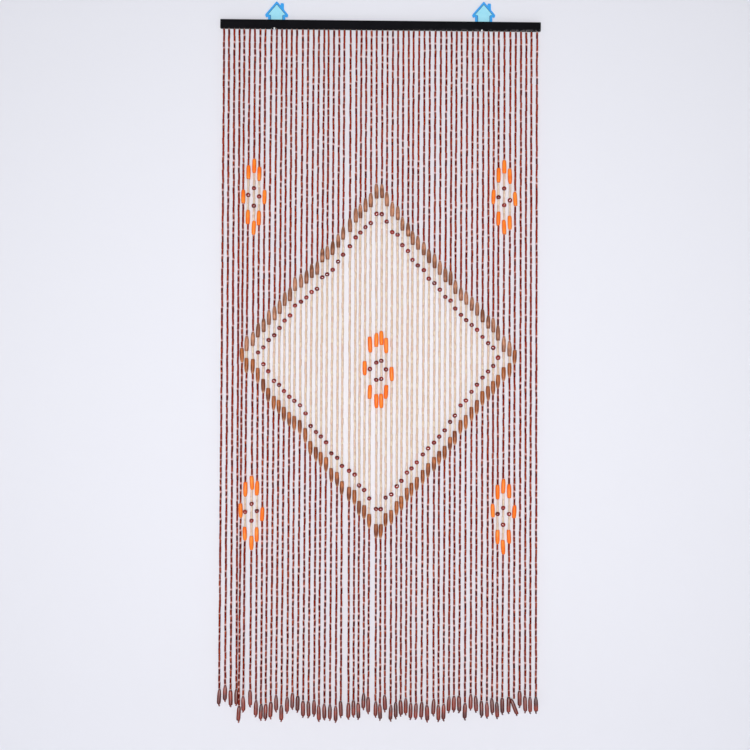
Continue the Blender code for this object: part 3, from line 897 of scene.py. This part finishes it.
def build_tubes():
    """The brown field in four pieces, and the pale tubes in two."""
    stain = brown_tube_material()
    quarter = STRANDS // 4
    for n, letter in enumerate("abcd"):
        beads = chosen("brown", first=n * quarter, last=(n + 1) * quarter - 1)
        string_beads("brown_tubes_" + letter, beads, "tube", stain)
    wood = pale_tube_material()
    half = STRANDS // 2
    for n, side in enumerate(("left", "right")):
        beads = chosen("pale", first=n * half, last=(n + 1) * half - 1)
        string_beads("pale_tubes_" + side, beads, "tube", wood)


# Chance that a bead is strung the other way up
ALWAYS = 1.0
EITHER_WAY = 0.5


def is_upper(bead):
    """True above the diamond's middle."""
    return bead.drop + bead.length / 2 < DIAMOND_MIDDLE_DROP


def build_spindles():
    """The tan border, its lower half strung the other way up, and the orange flowers."""
    upper = turned_material("Tan spindle upper", UPPER_TAN)
    lower = turned_material("Tan spindle lower", LOWER_TAN_PAINTED_FOOT_HIGHLIGHT)
    orange = turned_material("Orange spindle", ORANGE)
    above = [bead for bead in chosen("tan") if is_upper(bead)]
    beneath = [bead for bead in chosen("tan") if not is_upper(bead)]
    string_beads("tan_spindles_upper", above, "spindle", upper)
    string_beads("tan_spindles_lower", beneath, "spindle", lower, ALWAYS)
    flowers = chosen("orange")
    string_beads("orange_spindles", flowers, "flower", orange, EITHER_WAY)


def build_dark_beads():
    """The round beads, the tip beads and the small stops that hold them."""
    glossy = turned_material("Dark round bead", DARK_ROUND)
    string_beads("round_beads", chosen("round"), "round", glossy, EITHER_WAY)
    lacquer = turned_material("Dark tip bead", DARK_TIP)
    string_beads("tip_beads", chosen("tip"), "tip", lacquer)
    build_stops(lacquer)


def tube_mesh(name, paths, width, sides):
    """Closed round tubes along short paths of (point, share of the width), in one mesh."""
    turns = [2 * math.pi * n / sides for n in range(sides)]
    points, faces, along, tone = [], [], [], []
    for number, path in enumerate(paths):
        start = len(points)
        last = len(path) - 1
        heading = (path[-1][0] - path[0][0]).normalized()
        side = heading.cross(Vector((0, 1, 0))).normalized()
        other = heading.cross(side)
        for step, (point, share) in enumerate(path):
            reach = width / 2 * share
            for turn in turns:
                points.append(point + (side * math.cos(turn) + other * math.sin(turn)) * reach)
                along.append(step / last)
                tone.append(number / len(paths))
        for ring in range(last):
            for n in range(sides):
                a = start + ring * sides + n
                b = start + ring * sides + (n + 1) % sides
                faces.append((a, b, b + sides, a + sides))
        faces.append(tuple(start + n for n in reversed(range(sides))))
        end = start + last * sides
        faces.append(tuple(end + n for n in range(sides)))
    values = {"along": along, "tone": tone, "joint": tone}
    return new_mesh_object(name, [tuple(point) for point in points], faces, values)


def build_threads():
    """One thread down each strand, from inside the slat's groove to the stop."""
    tips = {bead.strand: bead for bead in chosen("tip")}
    paths = []
    for bead in chosen("stop"):
        tip = tips[bead.strand]
        askew = ASKEW_TIPS.get(bead.strand, 0.0)
        stop = bead.drop + bead.length / 2
        end = tip.drop - THREAD_JOG if askew else stop
        drops = [(end + THREAD_IN_SLAT) * n / THREAD_STEPS for n in range(THREAD_STEPS + 1)]
        path = []
        for drop in drops:
            x, y = LINES[bead.strand](drop - THREAD_IN_SLAT)
            path.append((Vector((x, y, SLAT_UNDERSIDE + THREAD_IN_SLAT - drop)), 1.0))
        if askew:
            for drop in (tip.drop + THREAD_JOG, tip.drop + tip.length, stop):
                x, y = LINES[bead.strand](drop)
                aside = askew * min(drop - tip.drop - tip.length / 2, tip.length / 2)
                path.append((Vector((x + aside, y, SLAT_UNDERSIDE - drop)), 1.0))
        paths.append(path)
    obj = tube_mesh("threads", paths, THREAD_WIDTH, THREAD_SIDES)
    dress(obj, thread_material())


# Stops: their tilt and turn in degrees, and their outline along their own axis
STOP_TILTS = (12.0, 42.0)
STOP_TURN = 60.0
STOP_SIDES = 10
STOP_PROFILE = ((-0.5, 0.72), (-0.4, 1.0), (0.35, 0.94), (0.5, 0.6))


def build_stops(made):
    """The short end of tube, pulled askew, that the thread is tied round under each tip."""
    paths = []
    for bead in chosen("stop"):
        spin = random.Random(bead.chance)
        tilt = math.radians(spin.choice((-1, 1)) * spin.uniform(*STOP_TILTS))
        turn = math.radians(spin.uniform(-STOP_TURN, STOP_TURN))
        x, y = LINES[bead.strand](bead.drop)
        askew = ASKEW_TIPS.get(bead.strand, 0.0)
        centre = Vector((x + askew * BEADS["tip"].length / 2, y, 0))
        centre.z = SLAT_UNDERSIDE - bead.drop - bead.length / 2
        flat = math.sin(tilt)
        run = Vector((flat * math.cos(turn), flat * math.sin(turn), -math.cos(tilt)))
        paths.append([(centre + run * bead.length * s, w) for s, w in STOP_PROFILE])
    dress(tube_mesh("stop_beads", paths, BEADS["stop"].width, STOP_SIDES), made)


# Wall hooks, as in the solid ones, measured sideways and down from the roof's point
PLATE_THICKNESS = 4 * MM
PLATE_EDGE = 0.8 * MM
RECESS_DEPTH = 1.6 * MM
PANEL_GAP = 1.1 * MM
PANEL_EDGE = 0.35 * MM
PANEL_CLEARANCE = 0.3 * MM
EAVE_HALF = 33.4 * MM
EAVE_DROP = 39.5 * MM
EAVE_TIP = (29.6 * MM, 47.2 * MM)
WALL_HALF = 24.4 * MM
WALL_START = 43.8 * MM
HOUSE_HEIGHT = 78 * MM
CHIMNEY_INNER = 10.6 * MM
CHIMNEY_OUTER = 20.2 * MM
CHIMNEY_DROP = 5.8 * MM
ROOF_BAND_DROP = 9.8 * MM
PANEL_EAVE_HALF = 23.8 * MM
PANEL_EAVE_DROP = 40.5 * MM
PANEL_HALF = 16.2 * MM
PANEL_BOTTOM = 70 * MM
CORNER_RADIUS = 3.4 * MM
PANEL_CORNER_RADIUS = 1.2 * MM
CORNER_STEPS = 8

# How much of the edges beside it a corner may take, and how edges are rounded and shaded
CORNER_SHARE = 0.45
EDGE_SEGMENTS = 2
EDGE_ANGLE = math.radians(50)
HOOK_SHARP_ANGLE = math.radians(18)
FLOOR_TOLERANCE = 0.1 * MM

Hook = namedtuple("Hook", "side x roof_point")
HOOKS = (
    Hook(side="left", x=-293 * MM, roof_point=69.3 * MM),
    Hook(side="right", x=290.5 * MM, roof_point=74.3 * MM),
)


def mirrored(half_outline):
    """A closed outline from its right half, which starts on the middle line."""
    left = [(-x, z) for x, z in reversed(half_outline) if x > 0]
    return half_outline + left


def house_outline():
    """(x, z) of the plate's outline, from the roof's point."""
    slope = EAVE_DROP / EAVE_HALF
    lower = [
        (EAVE_HALF, -EAVE_DROP),
        (EAVE_TIP[0], -EAVE_TIP[1]),
        (WALL_HALF, -WALL_START),
        (WALL_HALF, -HOUSE_HEIGHT),
    ]
    outline = mirrored([(0.0, 0.0)] + lower)
    chimney = [
        (CHIMNEY_INNER, -CHIMNEY_INNER * slope),
        (CHIMNEY_INNER, -CHIMNEY_DROP),
        (CHIMNEY_OUTER, -CHIMNEY_DROP),
        (CHIMNEY_OUTER, -CHIMNEY_OUTER * slope),
    ]
    return outline[:1] + chimney + outline[1:]


def panel_outline(grow):
    """(x, z) of the inlaid panel, or of its recess where grow is the gap round it."""
    slope = EAVE_DROP / EAVE_HALF
    rise = grow * math.hypot(1.0, slope)
    eave = PANEL_EAVE_HALF + grow
    return mirrored(
        [
            (0.0, -ROOF_BAND_DROP + rise),
            (eave, -ROOF_BAND_DROP + rise - eave * slope),
            (PANEL_HALF + grow, -PANEL_EAVE_DROP - grow),
            (PANEL_HALF + grow, -PANEL_BOTTOM - grow),
        ]
    )


def softened(outline, radius):
    """The outline with each corner turned into a short curve."""
    curved = []
    for n, corner in enumerate(outline):
        here = Vector(corner)
        before = Vector(outline[n - 1]) - here
        after = Vector(outline[(n + 1) % len(outline)]) - here
        reach = min(radius, before.length * CORNER_SHARE, after.length * CORNER_SHARE)
        start = here + before.normalized() * reach
        end = here + after.normalized() * reach
        for step in range(CORNER_STEPS + 1):
            t = step / CORNER_STEPS
            curved.append(start * (1 - t) ** 2 + here * 2 * t * (1 - t) + end * t * t)
    return curved


def outline_object(name, outline, hook, back, front):
    """A closed piece from an outline, between two depths."""
    bm = bmesh.new()
    verts = [bm.verts.new((hook.x + x, back, hook.roof_point + z)) for x, z in outline]
    face = bm.faces.new(verts)
    grown = bmesh.ops.extrude_face_region(bm, geom=[face])
    moved = [part for part in grown["geom"] if isinstance(part, bmesh.types.BMVert)]
    bmesh.ops.translate(bm, verts=moved, vec=(0.0, front - back, 0.0))
    bmesh.ops.recalc_face_normals(bm, faces=bm.faces)
    mesh = bpy.data.meshes.new(name)
    bm.to_mesh(mesh)
    bm.free()
    return linked(name, mesh)


def soften_edges(obj, width):
    """Rounds the piece's sharp edges."""
    bevel = obj.modifiers.new("edges", "BEVEL")
    bevel.width = width
    bevel.segments = EDGE_SEGMENTS
    bevel.limit_method = "ANGLE"
    bevel.angle_limit = EDGE_ANGLE


def build_hook(hook, blue, cyan):
    """The house-shaped plate, its groove and the panel that lies in it."""
    outline = softened(house_outline(), CORNER_RADIUS)
    plate = outline_object("house_" + hook.side, outline, hook, 0.0, -PLATE_THICKNESS)
    soften_edges(plate, PLATE_EDGE)
    floor = -PLATE_THICKNESS + RECESS_DEPTH
    opening = softened(panel_outline(PANEL_GAP), PANEL_CORNER_RADIUS)
    cutter = outline_object("cutter", opening, hook, floor, -PLATE_THICKNESS - RECESS_DEPTH)
    recess = plate.modifiers.new("recess", "BOOLEAN")
    recess.operation = "DIFFERENCE"
    recess.solver = "EXACT"
    recess.object = cutter
    keep_shape(plate)
    bpy.data.objects.remove(cutter)
    mark_floor(plate.data, floor)
    dress(plate, blue, "hook_plate_" + hook.side)
    outline = softened(panel_outline(0.0), PANEL_CORNER_RADIUS)
    back = floor - PANEL_CLEARANCE
    front = -PLATE_THICKNESS + PANEL_CLEARANCE
    panel = outline_object("house_front_" + hook.side, outline, hook, back, front)
    soften_edges(panel, PANEL_EDGE)
    keep_shape(panel)
    dress(panel, cyan, "hook_panel_" + hook.side)


def mark_floor(mesh, floor):
    """Marks the recess floor's points, where the groove's painted shade, a darker blue, is full."""
    mark = mesh.attributes.new("groove_painted_shade", "FLOAT", "POINT")
    for vert, value in zip(mesh.vertices, mark.data):
        value.value = 1.0 if abs(vert.co.y - floor) < FLOOR_TOLERANCE else 0.0


def keep_shape(obj):
    """Turns the modifiers' result into the piece's own smooth mesh."""
    shaped = obj.evaluated_get(bpy.context.evaluated_depsgraph_get())
    mesh = bpy.data.meshes.new_from_object(shaped)
    obj.modifiers.clear()
    obj.data = mesh
    mesh.shade_smooth()
    mesh.set_sharp_from_angle(angle=HOOK_SHARP_ANGLE)


def finish_hard_parts():
    """The hooks, and new finishes for the slat and the prongs, which keep their solids."""
    # The plate's groove gets a darker blue as painted shade
    blue = plastic_material("Hook blue", *PLATE_BLUES, 0.25, groove=GROOVE_PAINTED_SHADE)
    cyan = plastic_material("Hook pale panel", *PANEL_BLUES, 0.3)
    for hook in HOOKS:
        build_hook(hook, blue, cyan)
    paint = slat_material()
    white = plastic_material("Hook white", *PRONG_WHITES, 0.25)
    finishes = {"slat": paint, "hook_prong_left": white, "hook_prong_right": white}
    for name, made in finishes.items():
        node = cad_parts[name]
        node.data.materials.clear()
        node.data.materials.append(made)


# Camera, where the photograph's stood: a little below the curtain's middle
VIEW_DISTANCE = 3.7
SENSOR = 36.0
LENS = 63.76
CAMERA_ROLL = math.radians(0.535)
CAMERA_TILT = math.radians(1.549)
CAMERA_SWING = math.radians(-0.218)
AIM_LEFT = 6.6 * MM
AIM_DROP = 982.7 * MM


def build_camera():
    """The camera at the photograph's place."""
    data = bpy.data.cameras.new("camera")
    camera = linked("camera", data)
    data.sensor_width = SENSOR
    data.lens = LENS
    target = Vector((-AIM_LEFT, SLAT_LOW.y, -AIM_DROP))
    level = math.cos(CAMERA_TILT)
    back = Vector(
        (
            math.sin(CAMERA_SWING) * level,
            -math.cos(CAMERA_SWING) * level,
            -math.sin(CAMERA_TILT),
        )
    )
    camera.location = target + back * VIEW_DISTANCE
    aim = (-back).to_track_quat("-Z", "Y").to_matrix().to_4x4()
    roll = Matrix.Rotation(CAMERA_ROLL, 4, "Z")
    camera.rotation_euler = (aim @ roll).to_euler()
    bpy.context.scene.camera = camera


FLOOR_DROP = 120 * MM
WALL_GAP = 3 * MM
STAGE_SIZE = 16.0
FLOOR_GREY = (0.80, 0.80, 0.82, 1)
WALL_GREY = (0.78, 0.785, 0.84, 1)
PAINT_ROUGHNESS = 0.9
PAINT_SPECULAR = 0.1
LIGHT_PLACE = (-0.06, -5.0, -1.2)
LIGHT_AIM = (0, 0, -1.0)
LIGHT_WIDTH = 0.6
LIGHT_POWER = 202
ROOM_LIGHT = (0.94, 0.96, 1.0, 1)
ROOM_STRENGTH = 0.15


def stage_plane(name, centre, rotation, colour, one_sided):
    """A large plain sheet of the stage."""
    half = STAGE_SIZE / 2
    mesh = bpy.data.meshes.new(name)
    corners = [(-half, -half, 0), (half, -half, 0), (half, half, 0), (-half, half, 0)]
    mesh.from_pydata(corners, [], [(0, 1, 2, 3)])
    made, nodes, shader = new_material(name + " paint")
    shader.inputs["Base Color"].default_value = colour
    shader.inputs["Roughness"].default_value = PAINT_ROUGHNESS
    shader.inputs["Specular IOR Level"].default_value = PAINT_SPECULAR
    if one_sided:
        clear = nodes.add("ShaderNodeBsdfTransparent").outputs[0]
        behind = nodes.add("ShaderNodeNewGeometry").outputs["Backfacing"]
        either = nodes.add("ShaderNodeMixShader", {0: behind, 1: shader.outputs[0], 2: clear})
        output = made.node_tree.nodes["Material Output"]
        nodes.put(output.inputs["Surface"], either.outputs[0])
    mesh.materials.append(made)
    obj = linked(name, mesh)
    obj.location = centre
    obj.rotation_euler = rotation


def build_light():
    """A soft square light in front, a little left of the middle."""
    data = bpy.data.lights.new("front", "AREA")
    data.size = LIGHT_WIDTH
    data.energy = LIGHT_POWER
    light = linked("front", data)
    light.location = LIGHT_PLACE
    heading = Vector(LIGHT_AIM) - Vector(LIGHT_PLACE)
    light.rotation_euler = heading.to_track_quat("-Z", "Y").to_euler()


def build_stage():
    """A pale wall behind, a pale floor under the hem and soft light."""
    floor_z = CAD_LOW.z - FLOOR_DROP
    stage_plane("floor", (0, 0, floor_z), (0, 0, 0), FLOOR_GREY, one_sided=False)
    wall_middle = (0, WALL_GAP, floor_z + STAGE_SIZE / 2)
    upright = (math.radians(90), 0, 0)
    stage_plane("backdrop", wall_middle, upright, WALL_GREY, one_sided=True)
    build_light()
    world = bpy.data.worlds.new("studio")
    world.use_nodes = True
    background = world.node_tree.nodes["Background"]
    background.inputs["Color"].default_value = ROOM_LIGHT
    background.inputs["Strength"].default_value = ROOM_STRENGTH
    bpy.context.scene.world = world
    bpy.context.scene.view_settings.view_transform = "Standard"


build_camera()
build_tubes()
build_spindles()
build_dark_beads()
build_threads()
finish_hard_parts()
build_stage()
